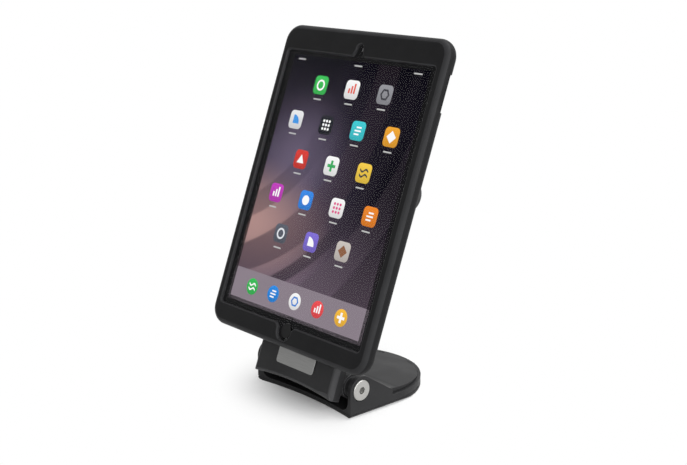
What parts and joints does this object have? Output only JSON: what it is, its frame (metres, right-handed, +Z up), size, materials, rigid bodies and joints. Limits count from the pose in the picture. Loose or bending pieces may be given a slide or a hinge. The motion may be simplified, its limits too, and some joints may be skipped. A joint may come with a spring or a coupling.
{
  "type": "tablet security kiosk stand",
  "caption": "Desk stand that holds a tablet in a rubber case on a tilting upright with a turning, key-locked head, on a low round weighted foot.",
  "frame": {"origin": "on the table, under the centre of the round foot", "axes": "+X to the viewer's right, -Y towards the viewer (the screen faces -Y), +Z up"},
  "size_m": [0.177, 0.1272, 0.2757],
  "materials": {
    "black_casting": "satin",
    "black_plate": "satin",
    "black_rubber": "matte",
    "pad_rubber": "matte",
    "black_plastic": "matte",
    "bearing_plastic": "matte",
    "bronze_bush": "satin",
    "bolt_steel": "satin",
    "screw_steel": "satin",
    "badge_metal": "satin",
    "hub_metal": "satin",
    "tablet_metal": "satin",
    "button_metal": "satin",
    "cover_glass": "gloss",
    "screen": "gloss",
    "mask_black": "gloss",
    "home_black": "gloss",
    "lens_black": "gloss",
    "battery_black": "matte",
    "board_green": "matte"
  },
  "bodies": {
    "base": {"base_body": "black_casting", "base_plate": "black_plate", "foot_pad": "pad_rubber", "base_screws": "screw_steel", "hinge_bolt": "bolt_steel", "hinge_nut": "bolt_steel", "friction_washer": "bearing_plastic", "disc_springs": "screw_steel"},
    "arm": {"hinge_bushes": "bronze_bush", "upright": "black_casting", "badge_plate": "badge_metal", "hub_bearing": "bearing_plastic", "rear_cover": "black_plastic", "cover_screws": "screw_steel", "lock_barrel": "bolt_steel"},
    "lock": {"lock_plug": "bolt_steel", "lock_cam": "screw_steel"},
    "tablet_case": {"hub_spindle": "hub_metal", "spindle_screws": "screw_steel", "hub_retainer": "hub_metal", "retainer_screws": "screw_steel", "mount_bar": "black_plastic", "bar_screws": "screw_steel", "case_back": "black_plastic", "case_bumper": "black_rubber", "tablet_housing": "tablet_metal", "battery_pack": "battery_black", "logic_board": "board_green", "charge_connector": "screw_steel", "rear_camera": "lens_black", "front_camera": "lens_black", "display_panel": "screen", "bezel_mask": "mask_black", "front_glass": "cover_glass"},
    "home_key": {"home_button": "home_black"},
    "volume_up_key": {"volume_up": "button_metal"},
    "volume_down_key": {"volume_down": "button_metal"},
    "power_key": {"power_button": "button_metal"}
  },
  "joints": [
    {"name": "tilt", "type": "hinge", "parent": "base", "child": "arm", "pos_m": [0, -0.0399, 0.0205], "axis": [-1, 0, 0], "range_deg": [-15, 30]},
    {"name": "swivel", "type": "hinge", "parent": "arm", "child": "tablet_case", "pos_m": [0, -0.02396, 0.17116], "axis": [0, -0.9348, 0.3551], "range_deg": [-90, 90]},
    {"name": "lock_turn", "type": "hinge", "parent": "arm", "child": "lock", "pos_m": [0, -0.02396, 0.17116], "axis": [0, -0.9348, 0.3551], "range_deg": [0, 90]},
    {"name": "home_press", "type": "slide", "parent": "tablet_case", "child": "home_key", "axis": [0, 0.9348, -0.3551], "range_m": [0, 0.0004], "stiffness_N_per_m": 1500},
    {"name": "volume_up_press", "type": "slide", "parent": "tablet_case", "child": "volume_up_key", "axis": [-1, 0, 0], "range_m": [0, 0.0004], "stiffness_N_per_m": 1500},
    {"name": "volume_down_press", "type": "slide", "parent": "tablet_case", "child": "volume_down_key", "axis": [-1, 0, 0], "range_m": [0, 0.0004], "stiffness_N_per_m": 1500},
    {"name": "power_press", "type": "slide", "parent": "tablet_case", "child": "power_key", "axis": [0, -0.3551, -0.9348], "range_m": [0, 0.0004], "stiffness_N_per_m": 1500}
  ]
}
